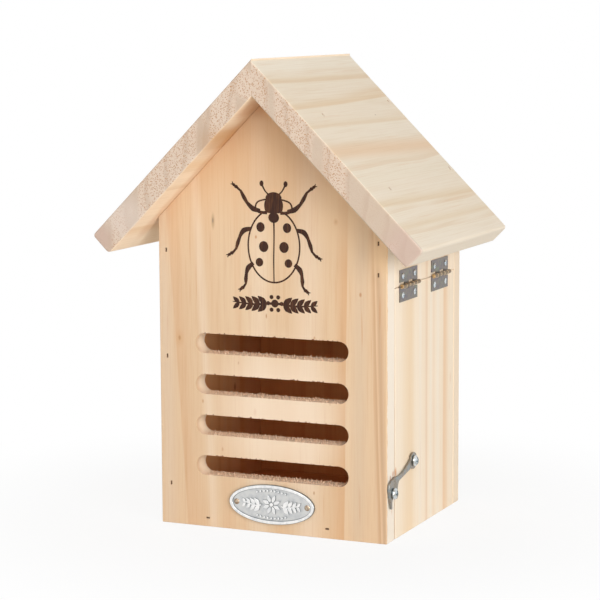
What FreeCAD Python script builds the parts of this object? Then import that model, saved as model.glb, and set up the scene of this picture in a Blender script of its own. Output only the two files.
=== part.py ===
import FreeCAD, Part
import math
import os
import Sketcher
from FreeCAD import Placement, Rotation, Vector

# Frame: X to the right, Y to the back, Z up; origin under the middle of the house body.
# All lengths are in millimetres and all angles in degrees.

sizes = {
    # House body
    "bodyWidth": 126,
    "bodyDepth": 106,
    "frontThick": 10.4,
    "backThick": 8.5,
    "wallThick": 12,
    "floorThick": 10,
    "boardEase": 0.5,
    # Roof: the left board is a little thicker and stands proud at the ridge
    "ridgeHeight": 240.4,
    "roofPitch": 45,
    "roofThick": 12.2,
    "roofLeftExtra": 0.7,
    "roofSlope": 127,
    "roofDepth": 126,
    "roofOverhang": 21.3,
    "roofEase": 0.8,
    "eaveTopEase": 1.8,
    "eaveLowEase": 2.2,
    # Slots in the front
    "slotLength": 85,
    "slotHeight": 10.4,
    "slotPitch": 21.2,
    "slotCount": 4,
    "slotLowest": 32.4,
    # Door and the fixed rail above it; the door's front edge is cut a little out of square
    "railBottom": 127.9,
    "doorTop": 127.6,
    "doorBottom": 0,
    "doorFrontGapLow": 1.7,
    "doorFrontGapHigh": 0.6,
    "doorBackGap": 0.5,
    "doorFloorGap": 0.5,
    # Hinges
    "hingeLength": 24.4,
    "hingeFront": 28.6,
    "hingeRear": 73.9,
    "hingeAxisHeight": 128.1,
    "hingeAxisOut": 1.45,
    "leafThick": 0.5,
    "leafHeight": 8.1,
    "leafJog": 1,
    "leafRelief": 1.9,
    "knuckleRadius": 1.1,
    "knuckleGap": 0.35,
    "rollEnd": -120,
    "pinRadius": 0.55,
    "pinEnd": 0.5,
    "pinTaper": 0.3,
    # Screws in the hinges
    "hingeScrewSpacing": 16.4,
    "hingeScrewOffset": 4.8,
    "hingeScrewHead": 1.6,
    "hingeScrewHeight": 0.8,
    "hingeScrewRim": 0.2,
    "hingeScrewShank": 0.9,
    "hingeScrewLength": 9,
    # Latch hook and its two screws
    "hookPivotBack": 34.1,
    "hookPivotHeight": 36.4,
    "catchBack": 5.6,
    "catchHeight": 25.1,
    "hookThick": 1.2,
    "hookOffWood": 0.3,
    "hookEyeRadius": 4.3,
    "hookEyeHole": 1.45,
    "hookNotch": 1.6,
    "hookEase": 0.2,
    "latchScrewHead": 2.85,
    "latchScrewHeight": 2,
    "latchScrewRim": 0.6,
    "latchScrewShank": 1.4,
    "latchScrewLength": 12,
    "latchScrewOut": 1.8,
    # Oval plate on the front and its two pins
    "plateAcross": 0.3,
    "plateHeight": 15,
    "plateHalfLong": 23.75,
    "plateHalfHigh": 10.25,
    "plateThick": 1.4,
    "plateRim": 2,
    "plateField": 0.6,
    "plateEase": 0.55,
    "platePinSpacing": 39.5,
    "platePinHead": 1.5,
    "platePinHeight": 0.7,
    "platePinRim": 0.1,
    "platePinShank": 0.7,
    "platePinLength": 8,
    # Keyhole plate let into the back, and its two screws
    "hangerHeight": 184,
    "hangerLong": 40,
    "hangerHigh": 15,
    "hangerThick": 1.2,
    "keyholeRadius": 3.5,
    "keyholeNeck": 1.75,
    "keyholeRise": 5,
    "keyholeDrop": 1.5,
    "hangerPocketDepth": 6,
    "hangerPocketRadius": 5,
    "hangerScrewSpacing": 29,
    "hangerScrewHead": 2.4,
    "hangerScrewHeight": 1.2,
    "hangerScrewShank": 1.1,
    "hangerScrewLength": 7,
    # Brads
    "bradWide": 1,
    "bradShank": 1.2,
    "bradHead": 2.2,
    "bradHeadThick": 0.9,
    "bradLength": 22,
    "bradRecess": 0.6,
    "roofBradFront": 5,
    "roofBradBack": 6,
    "screwTip": 2,
}

# Brads through the front and back panels: across, up, and which way the head lies
panelBrads = {
    "wallHigh": (-58.8, 143.2, "upright"),
    "wallMiddle": (-58.8, 88.2, "upright"),
    "wallLow": (-57.4, 21.4, "upright"),
    "railHigh": (58.4, 151, "upright"),
    "railLow": (58.4, 135.4, "upright"),
    "floorLeft": (-36.4, 4.6, "level"),
    "floorRight": (30.6, 5, "level"),
}

# Brads through each roof board: distance down the slope, and the panel that they enter
roofBrads = {
    "frontHigh": (38.2, "front"),
    "frontLow": (88.4, "front"),
    "backHigh": (34.1, "back"),
    "backLow": (83.5, "back"),
}

document = FreeCAD.newDocument("LadybirdHouse")
sheet = document.addObject("Spreadsheet::Sheet", "Sizes")
parts = {}


def fillSheet():
    cells = dict(sizes)
    for name, (across, up, lie) in panelBrads.items():
        cells[name + "Across"] = across
        cells[name + "Up"] = up
    for name, (down, panel) in roofBrads.items():
        cells[name + "Down"] = down
    for row, (alias, number) in enumerate(cells.items(), start=1):
        sheet.set(f"A{row}", alias)
        sheet.set(f"B{row}", str(number))
        sheet.setAlias(f"B{row}", alias)
    document.recompute()


def value(expression):
    return float(sheet.evalExpression(expression))


# Sketches: closed loops of straight and round stretches, each corner bound to the sheet


def fixPoint(sketch, geometry, point, x, y):
    for kind, axis, place in (("DistanceX", -2, x), ("DistanceY", -1, y)):
        if place == "0":
            sketch.addConstraint(Sketcher.Constraint("PointOnObject", geometry, point, axis))
        elif place is not None:
            held = Sketcher.Constraint(kind, -1, 1, geometry, point, value(place))
            index = sketch.addConstraint(held)
            sketch.setExpression(f"Constraints[{index}]", place)


def drawLoop(sketch, corners):
    # A corner is (x, y), or (x, y, (centre x, centre y), turn) where an arc follows it
    places = [Vector(value(corner[0]), value(corner[1]), 0) for corner in corners]
    starts = []
    ends = []
    for index, corner in enumerate(corners):
        here = places[index]
        there = places[(index + 1) % len(corners)]
        if len(corner) == 2:
            geometry = sketch.addGeometry(Part.LineSegment(here, there))
            starts.append((geometry, 1))
            ends.append((geometry, 2))
            continue
        centre = Vector(value(corner[2][0]), value(corner[2][1]), 0)
        leftward = corner[3] == "left"
        first, last = (here, there) if leftward else (there, here)
        angles = [math.atan2(place.y - centre.y, place.x - centre.x) for place in (first, last)]
        circle = Part.Circle(centre, Vector(0, 0, 1), (here - centre).Length)
        geometry = sketch.addGeometry(Part.ArcOfCircle(circle, angles[0], angles[1]))
        starts.append((geometry, 1 if leftward else 2))
        ends.append((geometry, 2 if leftward else 1))
    for index, corner in enumerate(corners):
        following = (index + 1) % len(corners)
        joined = Sketcher.Constraint("Coincident", *ends[index], *starts[following])
        sketch.addConstraint(joined)
        fixPoint(sketch, *starts[index], corner[0], corner[1])
        if len(corner) > 2:
            chord = places[following] - places[index]
            steep = abs(chord.y) > abs(chord.x)
            centreX = corner[2][0] if steep else None
            centreY = None if steep else corner[2][1]
            fixPoint(sketch, starts[index][0], 3, centreX, centreY)


def drawRectangle(sketch, x, y, wide, high):
    left = f"{x} - ({wide}) / 2"
    right = f"{x} + ({wide}) / 2"
    low = f"{y} - ({high}) / 2"
    top = f"{y} + ({high}) / 2"
    drawLoop(sketch, [(left, low), (right, low), (right, top), (left, top)])


def drawRoundedRectangle(sketch, x, y, wide, high, radius):
    left = f"{x} - ({wide}) / 2"
    right = f"{x} + ({wide}) / 2"
    low = f"{y} - ({high}) / 2"
    top = f"{y} + ({high}) / 2"
    leftIn = f"{left} + {radius}"
    rightIn = f"{right} - {radius}"
    lowIn = f"{low} + {radius}"
    topIn = f"{top} - {radius}"
    drawLoop(sketch, [
        (leftIn, low),
        (rightIn, low, (rightIn, lowIn), "left"),
        (right, lowIn),
        (right, topIn, (rightIn, topIn), "left"),
        (rightIn, top),
        (leftIn, top, (leftIn, topIn), "left"),
        (left, topIn),
        (left, lowIn, (leftIn, lowIn), "left"),
    ])


def drawCircle(sketch, x, y, radius):
    centre = Vector(value(x), value(y), 0)
    geometry = sketch.addGeometry(Part.Circle(centre, Vector(0, 0, 1), value(radius)))
    fixPoint(sketch, geometry, 3, x, y)
    index = sketch.addConstraint(Sketcher.Constraint("Radius", geometry, value(radius)))
    sketch.setExpression(f"Constraints[{index}]", radius)


def drawEllipse(sketch, halfLong, halfHigh):
    # Centred on the sketch's origin, with its long axis level
    shape = Part.Ellipse(Vector(value(halfLong), 0, 0), Vector(0, value(halfHigh), 0), Vector(0, 0, 0))
    geometry = sketch.addGeometry(shape)
    sketch.exposeInternalGeometry(geometry)
    longAxis = geometry + 1
    highAxis = geometry + 2
    sketch.addConstraint(Sketcher.Constraint("Coincident", geometry, 3, -1, 1))
    sketch.addConstraint(Sketcher.Constraint("PointOnObject", longAxis, 1, -1))
    for axis, half in ((longAxis, halfLong), (highAxis, halfHigh)):
        whole = f"2 * ({half})"
        index = sketch.addConstraint(Sketcher.Constraint("Distance", axis, value(whole)))
        sketch.setExpression(f"Constraints[{index}]", whole)


# Bodies and their features


def newBody(label, x="0", y="0", z="0", axis=None, angle=None):
    body = document.addObject("PartDesign::Body", label)
    body.Label = label
    if axis is not None:
        body.Placement = Placement(Vector(), Rotation(axis, value(angle)))
        body.setExpression("Placement.Rotation.Angle", angle)
    for letter, place in zip("xyz", (x, y, z)):
        body.setExpression("Placement.Base." + letter, place)
    return body


def originFeature(body, role):
    return [feature for feature in body.Origin.OriginFeatures if feature.Role == role][0]


def addSketch(body, name, plane, offset="0"):
    sketch = body.newObject("Sketcher::SketchObject", name)
    sketch.AttachmentSupport = [(originFeature(body, plane), "")]
    sketch.MapMode = "FlatFace"
    sketch.setExpression("AttachmentOffset.Base.z", offset)
    return sketch


def addPad(body, sketch, length, turned=False, both=False):
    pad = body.newObject("PartDesign::Pad", "Pad")
    pad.Profile = sketch
    pad.Reversed = turned
    pad.SideType = "Symmetric" if both else "One side"
    pad.setExpression("Length", length)
    document.recompute()
    return pad


def addPocket(body, sketch, depth, turned=False, both=False):
    pocket = body.newObject("PartDesign::Pocket", "Pocket")
    pocket.Profile = sketch
    pocket.Reversed = turned
    pocket.SideType = "Symmetric" if both else "One side"
    pocket.setExpression("Length", depth)
    before = pocket.BaseFeature.Shape.Volume
    document.recompute()
    if not pocket.Shape.Volume < before:
        raise RuntimeError(f"{body.Label}: {sketch.Label} cuts nothing")
    return pocket


def addRevolution(body, sketch):
    turned = body.newObject("PartDesign::Revolution", "Revolution")
    turned.Profile = sketch
    turned.ReferenceAxis = (sketch, ["V_Axis"])
    turned.Angle = 360
    document.recompute()
    return turned


def addPattern(body, features, axis, length, count):
    pattern = body.newObject("PartDesign::LinearPattern", "Pattern")
    pattern.Originals = features
    pattern.Direction = (originFeature(body, axis), [""])
    pattern.setExpression("Length", length)
    pattern.setExpression("Occurrences", count)
    body.Tip = pattern
    document.recompute()
    return pattern


def easeEdges(body, feature, radius, chosen=None):
    # Rounds every edge, or only those whose middle passes the test
    fillet = body.newObject("PartDesign::Fillet", "Ease")
    if chosen is None:
        fillet.Base = (feature, [])
        fillet.UseAllEdges = True
    else:
        names = []
        for number, edge in enumerate(feature.Shape.Edges, start=1):
            if chosen(edge):
                names.append(f"Edge{number}")
        fillet.Base = (feature, names)
    fillet.setExpression("Radius", radius)
    document.recompute()
    return fillet


def keepPart(label, thing):
    thing.Label = label
    parts[label] = thing


def cutPart(label, base, tools):
    # The finished piece: the blank less everything that is driven into it
    tool = tools[0]
    if len(tools) > 1:
        tool = document.addObject("Part::Compound", label + "_tools")
        tool.Links = tools
    piece = document.addObject("Part::Cut", label)
    piece.Base = base
    piece.Tool = tool
    document.recompute()
    keepPart(label, piece)


# Places that several pieces share

frontFace = "-Sizes.bodyDepth / 2"
backFace = "Sizes.bodyDepth / 2"
sideFace = "Sizes.bodyWidth / 2"
wallInside = "Sizes.bodyWidth / 2 - Sizes.wallThick"
chamberFront = "-Sizes.bodyDepth / 2 + Sizes.frontThick"
chamberDepth = "Sizes.bodyDepth - Sizes.frontThick - Sizes.backThick"
underApex = "Sizes.ridgeHeight - Sizes.roofThick / cos(Sizes.roofPitch)"


def undersideAt(across):
    return f"{underApex} - ({across}) * tan(Sizes.roofPitch)"


# Boards


def panelOutline(sketch):
    drawLoop(sketch, [
        ("-" + sideFace, "0"),
        (sideFace, "0"),
        (sideFace, undersideAt(sideFace)),
        ("0", underApex),
        ("-" + sideFace, undersideAt(sideFace)),
    ])


def buildFrontBoard():
    body = newBody("front_board", y=frontFace)
    outline = addSketch(body, "Outline", "XZ_Plane")
    panelOutline(outline)
    board = addPad(body, outline, "Sizes.frontThick", turned=True)
    easeEdges(body, board, "Sizes.boardEase")
    slot = addSketch(body, "Slot", "XZ_Plane")
    straight = "(Sizes.slotLength - Sizes.slotHeight) / 2"
    low = "Sizes.slotLowest - Sizes.slotHeight / 2"
    top = "Sizes.slotLowest + Sizes.slotHeight / 2"
    drawLoop(slot, [
        ("-" + straight, low),
        (straight, low, (straight, "Sizes.slotLowest"), "left"),
        (straight, top),
        ("-" + straight, top, ("-" + straight, "Sizes.slotLowest"), "left"),
    ])
    pocket = addPocket(body, slot, "Sizes.frontThick * 2.5", both=True)
    rise = "Sizes.slotPitch * (Sizes.slotCount - 1)"
    addPattern(body, [pocket], "Z_Axis", rise, "Sizes.slotCount")
    return body


def buildBackBoard():
    body = newBody("back_board", y=backFace)
    outline = addSketch(body, "Outline", "XZ_Plane")
    panelOutline(outline)
    board = addPad(body, outline, "Sizes.backThick")
    easeEdges(body, board, "Sizes.boardEase")
    rebate = addSketch(body, "Rebate", "XZ_Plane")
    drawRoundedRectangle(rebate, "0", "Sizes.hangerHeight", "Sizes.hangerLong", "Sizes.hangerHigh",
                         "Sizes.hangerHigh / 4")
    addPocket(body, rebate, "Sizes.hangerThick", turned=True)
    room = addSketch(body, "HeadRoom", "XZ_Plane")
    wide = "Sizes.hangerPocketRadius"
    low = "Sizes.hangerHeight - Sizes.keyholeDrop"
    top = "Sizes.hangerHeight - Sizes.keyholeDrop + Sizes.keyholeRise"
    drawLoop(room, [
        (f"-{wide}", top, ("0", top), "right"),
        (wide, top),
        (wide, low, ("0", low), "right"),
        (f"-{wide}", low),
    ])
    addPocket(body, room, "Sizes.hangerPocketDepth", turned=True)
    return body


def buildWall(label, side, bottom):
    # A side board with its top bevelled to the roof's underside
    outer = f"{side} * ({sideFace})"
    inner = f"{side} * ({wallInside})"
    body = newBody(label, y=chamberFront)
    section = addSketch(body, "Section", "XZ_Plane")
    drawLoop(section, [
        (inner, bottom),
        (outer, bottom),
        (outer, undersideAt(sideFace)),
        (inner, undersideAt(wallInside)),
    ])
    board = addPad(body, section, chamberDepth, turned=True)
    easeEdges(body, board, "Sizes.boardEase")
    return body


def buildFloor():
    body = newBody("floor_board", y=chamberFront)
    section = addSketch(body, "Section", "XZ_Plane")
    right = wallInside + " - Sizes.doorFloorGap"
    left = f"-({wallInside})"
    drawLoop(section, [(left, "0"), (right, "0"), (right, "Sizes.floorThick"), (left, "Sizes.floorThick")])
    board = addPad(body, section, chamberDepth, turned=True)
    easeEdges(body, board, "Sizes.boardEase")
    return body


def buildDoorBoard():
    body = newBody("door_board", x=sideFace)
    face = addSketch(body, "Face", "YZ_Plane")
    frontLow = chamberFront + " + Sizes.doorFrontGapLow"
    frontHigh = chamberFront + " + Sizes.doorFrontGapHigh"
    back = backFace + " - Sizes.backThick - Sizes.doorBackGap"
    bottom = "Sizes.doorBottom"
    top = "Sizes.doorTop"
    drawLoop(face, [(frontLow, bottom), (back, bottom), (back, top), (frontHigh, top)])
    board = addPad(body, face, "Sizes.wallThick", turned=True)
    easeEdges(body, board, "Sizes.boardEase")
    return body


def roofTop(side):
    # Where a board's upper face meets the ridge plane
    if side > 0:
        return "Sizes.ridgeHeight"
    return "Sizes.ridgeHeight + Sizes.roofLeftExtra / cos(Sizes.roofPitch)"


def buildRoofBoard(label, side):
    # Mitred at the ridge, square at the eave, with the eave's two long edges rounded more than the rest
    body = newBody(label, y=frontFace + " - Sizes.roofOverhang")
    section = addSketch(body, "Section", "XZ_Plane")
    thick = "Sizes.roofThick" if side > 0 else "(Sizes.roofThick + Sizes.roofLeftExtra)"
    eaveOut = "Sizes.roofSlope * cos(Sizes.roofPitch)"
    eaveUp = f"{roofTop(side)} - Sizes.roofSlope * sin(Sizes.roofPitch)"
    lowOut = f"({eaveOut} - {thick} * sin(Sizes.roofPitch))"
    drawLoop(section, [
        ("0", roofTop(side)),
        (f"{side} * {eaveOut}", eaveUp),
        (f"{side} * {lowOut}", f"{eaveUp} - {thick} * cos(Sizes.roofPitch)"),
        ("0", underApex),
    ])
    board = addPad(body, section, "Sizes.roofDepth", turned=True)
    between = (value(eaveOut) + value(lowOut)) / 2
    length = value("Sizes.roofDepth")

    def runsAlong(edge):
        return edge.BoundBox.YLength > length / 2

    topEased = easeEdges(body, board, "Sizes.eaveTopEase",
                         lambda edge: runsAlong(edge) and abs(edge.CenterOfMass.x) > between)
    lowEased = easeEdges(body, topEased, "Sizes.eaveLowEase",
                         lambda edge: runsAlong(edge) and between / 2 < abs(edge.CenterOfMass.x) < between)
    easeEdges(body, lowEased, "Sizes.roofEase",
              lambda edge: not runsAlong(edge) and abs(edge.CenterOfMass.x) > 1)
    return body


# Brads: a group is one body of separate solids, and its holes reach up to the surface


def buildBrads(label, plane, inward, places, toSurface, **placement):
    body = newBody(label, **placement)
    recess = f"{inward} * Sizes.bradRecess"
    against = inward < 0
    shanks = addSketch(body, "Shanks", plane, recess)
    heads = addSketch(body, "Heads", plane, "0" if toSurface else recess)
    for across, up, lie in places:
        upright = lie == "upright"
        wide = "Sizes.bradWide"
        drawRectangle(shanks, across, up,
                      wide if upright else "Sizes.bradShank", "Sizes.bradShank" if upright else wide)
        drawRectangle(heads, across, up,
                      wide if upright else "Sizes.bradHead", "Sizes.bradHead" if upright else wide)
    addPad(body, shanks, "Sizes.bradLength", turned=against)
    headDepth = "Sizes.bradHeadThick + Sizes.bradRecess" if toSurface else "Sizes.bradHeadThick"
    addPad(body, heads, headDepth, turned=against)
    return body


def panelBradPlaces():
    return [
        (f"Sizes.{name}Across", f"Sizes.{name}Up", lie)
        for name, (across, up, lie) in panelBrads.items()
    ]


def roofBradPlaces(side):
    rows = {
        "front": frontFace + " + Sizes.roofBradFront",
        "back": backFace + " - Sizes.roofBradBack",
    }
    return [
        (f"{side} * Sizes.{name}Down", rows[panel], "level")
        for name, (down, panel) in roofBrads.items()
    ]


# Screws and pins: the axis is the body's own Z, with the head at the top


def addRecess(body, head, height, depth):
    # Cross recess: a plus sign sunk into the head
    reach = f"{head} * 0.6"
    half = f"{head} * 0.15"
    cross = addSketch(body, "Recess", "XY_Plane", height)
    drawLoop(cross, [
        (reach, "-" + half),
        (reach, half),
        (half, half),
        (half, reach),
        ("-" + half, reach),
        ("-" + half, half),
        ("-" + reach, half),
        ("-" + reach, "-" + half),
        ("-" + half, "-" + half),
        ("-" + half, "-" + reach),
        (half, "-" + reach),
        (half, "-" + half),
    ])
    return addPocket(body, cross, depth)


def buildScrews(label, kind, spacing=None, along=None, flat=False, recess=True, **placement):
    # kind is the prefix of the screw's sizes; a second one stands at the spacing, if there is one
    body = newBody(label, **placement)
    head = f"Sizes.{kind}Head"
    height = f"Sizes.{kind}Height"
    shank = f"Sizes.{kind}Shank"
    length = f"Sizes.{kind}Length"
    profile = addSketch(body, "Profile", "XZ_Plane")
    tip = [("0", f"-{length}"), (shank, f"Sizes.screwTip - {length}")]
    if flat:
        drawLoop(profile, tip + [(shank, f"-{height}"), (head, "0"), ("0", "0")])
        top = "0"
    else:
        rim = f"Sizes.{kind}Rim"
        centre = f"({height} ^ 2 - {rim} ^ 2 - {head} ^ 2) / (2 * ({height} - {rim}))"
        crown = (head, rim, ("0", centre), "left")
        drawLoop(profile, tip + [(shank, "0"), (head, "0"), crown, ("0", height)])
        top = height
    features = [addRevolution(body, profile)]
    if recess:
        features.append(addRecess(body, head, top, f"{height} * 0.6"))
    if spacing is not None:
        addPattern(body, features, along, spacing, "2")
    return body


# Hinges


def buildHingeLeaf(label, along, upper):
    turn = {"axis": Vector(1, 0, 0), "angle": "180"} if upper else {}
    body = newBody(label, sideFace + " + Sizes.hingeAxisOut", along, "Sizes.hingeAxisHeight", **turn)
    profile = addSketch(body, "Profile", "XZ_Plane")
    outer = "Sizes.knuckleRadius"
    inner = "(Sizes.knuckleRadius - Sizes.leafThick)"
    back = "-Sizes.hingeAxisOut"
    front = "Sizes.leafThick - Sizes.hingeAxisOut"
    drawLoop(profile, [
        (back, "-Sizes.leafHeight"),
        (back, "-Sizes.leafJog"),
        ("-" + outer, "0", ("0", "0"), "right"),
        (outer + " * cos(Sizes.rollEnd)", outer + " * sin(Sizes.rollEnd)"),
        (inner + " * cos(Sizes.rollEnd)", inner + " * sin(Sizes.rollEnd)", ("0", "0"), "left"),
        ("-" + inner, "0"),
        (front, "-Sizes.leafJog"),
        (front, "-Sizes.leafHeight"),
    ])
    addPad(body, profile, "Sizes.hingeLength", both=True)
    # Two knuckles are cut away, with room in the leaf for those of the other leaf
    gaps = addSketch(body, "KnuckleGaps", "YZ_Plane")
    relief = "Sizes.leafRelief"
    quarter = "Sizes.hingeLength / 4"
    slack = "Sizes.knuckleGap / 2"
    for start, end in ((f"-{quarter} - {slack}", slack), (f"{quarter} - {slack}", f"{quarter} * 3")):
        drawLoop(gaps, [(start, "-" + relief), (end, "-" + relief), (end, relief), (start, relief)])
    addPocket(body, gaps, "Sizes.hingeAxisOut * 4", both=True)
    return body


def buildHingePin(label, along):
    body = newBody(label, sideFace + " + Sizes.hingeAxisOut", along, "Sizes.hingeAxisHeight",
                   axis=Vector(1, 0, 0), angle="90")
    profile = addSketch(body, "Profile", "XZ_Plane")
    end = "(Sizes.hingeLength / 2 + Sizes.pinEnd)"
    shoulder = end + " - Sizes.pinTaper"
    narrow = "Sizes.pinRadius - Sizes.pinTaper"
    drawLoop(profile, [
        ("0", "-" + end),
        (narrow, "-" + end),
        ("Sizes.pinRadius", "Sizes.pinTaper - " + end),
        ("Sizes.pinRadius", shoulder),
        (narrow, end),
        ("0", end),
    ])
    addRevolution(body, profile)
    return body


def buildHinge(prefix, along):
    # Leaves, pin and screws of one hinge; returns the upper and the lower screws
    screws = {}
    for level, upper, sign in (("upper", True, "+"), ("lower", False, "-")):
        name = f"{prefix}_hinge_{level}"
        leaf = buildHingeLeaf(name + "_blank", along, upper)
        screws[level] = buildScrews(
            name + "_screws", "hingeScrew", "Sizes.hingeScrewSpacing", "Y_Axis",
            x=sideFace + " + Sizes.leafThick",
            y=f"{along} - Sizes.hingeScrewSpacing / 2",
            z=f"Sizes.hingeAxisHeight {sign} Sizes.hingeScrewOffset",
            axis=Vector(0, 1, 0), angle="90")
        keepPart(name + "_screws", screws[level])
        cutPart(name + "_leaf", leaf, [screws[level]])
    keepPart(prefix + "_hinge_pin", buildHingePin(prefix + "_hinge_pin", along))
    return screws


# Latch hook: drawn with the pivot at the origin and the catch screw straight in front (towards -Y)


def buildHook():
    down = "(Sizes.hookPivotHeight - Sizes.catchHeight)"
    back = "(Sizes.hookPivotBack - Sizes.catchBack)"
    body = newBody("latch_hook", sideFace + " + Sizes.hookOffWood",
                   frontFace + " + Sizes.hookPivotBack", "Sizes.hookPivotHeight",
                   axis=Vector(1, 0, 0), angle=f"atan({down} / {back})")

    def fromCatch(distance):
        # Positive towards the pivot
        return f"{distance} - sqrt({back} ^ 2 + {down} ^ 2)"

    notch = "Sizes.hookNotch"
    outline = addSketch(body, "Outline", "YZ_Plane")
    drawLoop(outline, [
        # Upper edge, from the eye to the round back of the hook
        ("0", "2.9"),
        ("-12.1", "2.6", ("-12.1", "27.6"), "right"),
        (fromCatch(5.2), "6.47"),
        (fromCatch(-0.6), "7.3", (fromCatch(-0.6), "3.6"), "left"),
        (fromCatch(-4.3), "3.6"),
        # Long tail
        (fromCatch(-5.2), "-6.2"),
        (fromCatch(-4.4), "-6.4"),
        (fromCatch(-3.1), "-3.5"),
        # Notch, which drops over the catch screw
        (fromCatch("-" + notch), "-2.1"),
        (fromCatch("-" + notch), "0", (fromCatch("0"), "0"), "right"),
        (fromCatch(notch), "0"),
        # Short tooth and the arm's lower edge
        (fromCatch(1.8), "-2.6"),
        (fromCatch(2.4), "-4.6"),
        (fromCatch(3.2), "-5.3"),
        (fromCatch(5.2), "-4.6", (fromCatch(10.7), "-3.7"), "right"),
        (fromCatch(9.2), "1.7"),
        ("-4.7", "-1.6"),
        ("0", "-2.9"),
    ])
    addPad(body, outline, "Sizes.hookThick")
    eye = addSketch(body, "Eye", "YZ_Plane")
    drawCircle(eye, "0", "0", "Sizes.hookEyeRadius")
    disc = addPad(body, eye, "Sizes.hookThick")
    easeEdges(body, disc, "Sizes.hookEase")
    hole = addSketch(body, "EyeHole", "YZ_Plane")
    drawCircle(hole, "0", "0", "Sizes.hookEyeHole")
    addPocket(body, hole, "Sizes.hookThick * 3", both=True)
    return body


# Plates


def buildNameplate():
    body = newBody("nameplate_blank", "Sizes.plateAcross", frontFace, "Sizes.plateHeight")
    outline = addSketch(body, "Outline", "XZ_Plane")
    drawEllipse(outline, "Sizes.plateHalfLong", "Sizes.plateHalfHigh")
    addPad(body, outline, "Sizes.plateThick")
    field = addSketch(body, "Field", "XZ_Plane", "Sizes.plateThick")
    drawEllipse(field, "Sizes.plateHalfLong - Sizes.plateRim", "Sizes.plateHalfHigh - Sizes.plateRim")
    sunk = addPocket(body, field, "Sizes.plateField")
    front = -value("Sizes.plateThick")
    easeEdges(body, sunk, "Sizes.plateEase", lambda edge: abs(edge.BoundBox.YMin - front) < 0.01)
    return body


def buildHangerPlate():
    # Keyhole with its narrow end up: the round part takes a screw's head
    body = newBody("hanger_blank", "0", backFace, "Sizes.hangerHeight")
    outline = addSketch(body, "Outline", "XZ_Plane")
    drawRoundedRectangle(outline, "0", "0", "Sizes.hangerLong", "Sizes.hangerHigh", "Sizes.hangerHigh / 4")
    addPad(body, outline, "Sizes.hangerThick")
    keyhole = addSketch(body, "Keyhole", "XZ_Plane")
    centre = "-Sizes.keyholeDrop"
    neck = "Sizes.keyholeNeck"
    joint = f"{centre} + sqrt(Sizes.keyholeRadius ^ 2 - {neck} ^ 2)"
    drawLoop(keyhole, [
        (neck, joint),
        (neck, "Sizes.keyholeRise", ("0", "Sizes.keyholeRise"), "left"),
        ("-" + neck, "Sizes.keyholeRise"),
        ("-" + neck, joint, ("0", centre), "left"),
    ])
    addPocket(body, keyhole, "Sizes.hangerThick * 3", both=True)
    return body


# The house


def buildBradGroup(label, plane, inward, places, **placement):
    # Keeps the brads and returns their holes, which reach up to the surface
    keepPart(label, buildBrads(label, plane, inward, places, False, **placement))
    return buildBrads(label + "_holes", plane, inward, places, True, **placement)


def buildHouse():
    frontBrads = buildBradGroup("front_panel_brads", "XZ_Plane", -1, panelBradPlaces(), y=frontFace)
    backBrads = buildBradGroup("back_panel_brads", "XZ_Plane", 1, panelBradPlaces(), y=backFace)
    roofBrads = []
    for name, side in (("left", -1), ("right", 1)):
        holes = buildBradGroup(f"roof_{name}_brads", "XY_Plane", -1, roofBradPlaces(side),
                               z=roofTop(side), axis=Vector(0, side, 0), angle="Sizes.roofPitch")
        roofBrads.append(holes)
        cutPart(f"roof_{name}_board", buildRoofBoard(f"roof_{name}_blank", side), [holes])

    frontScrews = buildHinge("front", frontFace + " + Sizes.hingeFront")
    rearScrews = buildHinge("rear", frontFace + " + Sizes.hingeRear")

    outward = {"axis": Vector(0, 1, 0), "angle": "90"}
    latchOut = sideFace + " + Sizes.latchScrewOut"
    pivotScrew = buildScrews("hook_pivot_screw", "latchScrew", x=latchOut,
                             y=frontFace + " + Sizes.hookPivotBack", z="Sizes.hookPivotHeight", **outward)
    catchScrew = buildScrews("catch_screw", "latchScrew", x=latchOut,
                             y=frontFace + " + Sizes.catchBack", z="Sizes.catchHeight", **outward)
    keepPart("hook_pivot_screw", pivotScrew)
    keepPart("catch_screw", catchScrew)
    keepPart("latch_hook", buildHook())

    plateFace = "Sizes.plateThick - Sizes.plateField"
    platePins = buildScrews("nameplate_pins", "platePin", "Sizes.platePinSpacing", "X_Axis", recess=False,
                            x="Sizes.plateAcross - Sizes.platePinSpacing / 2",
                            y=f"{frontFace} - ({plateFace})", z="Sizes.plateHeight",
                            axis=Vector(1, 0, 0), angle="90")
    keepPart("nameplate_pins", platePins)
    cutPart("nameplate", buildNameplate(), [platePins])

    hangerPlace = {"x": "-Sizes.hangerScrewSpacing / 2", "y": backFace, "z": "Sizes.hangerHeight",
                   "axis": Vector(-1, 0, 0), "angle": "90"}
    pair = ["hangerScrew", "Sizes.hangerScrewSpacing", "X_Axis"]
    keepPart("hanger_screws", buildScrews("hanger_screws", *pair, flat=True, **hangerPlace))
    hangerHoles = buildScrews("hanger_screw_holes", *pair, flat=True, recess=False, **hangerPlace)
    cutPart("hanger_plate", buildHangerPlate(), [hangerHoles])

    panelBrads = [frontBrads, backBrads]
    upperScrews = [frontScrews["upper"], rearScrews["upper"]]
    lowerScrews = [frontScrews["lower"], rearScrews["lower"]]
    cutPart("front_panel", buildFrontBoard(), [frontBrads, *roofBrads, catchScrew, platePins])
    cutPart("back_panel", buildBackBoard(), [backBrads, *roofBrads, hangerHoles])
    cutPart("left_wall", buildWall("left_blank", -1, "0"), panelBrads)
    cutPart("floor_panel", buildFloor(), panelBrads)
    cutPart("right_top_rail", buildWall("rail_blank", 1, "Sizes.railBottom"), panelBrads + upperScrews)
    cutPart("door", buildDoorBoard(), lowerScrews + [pivotScrew])


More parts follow.
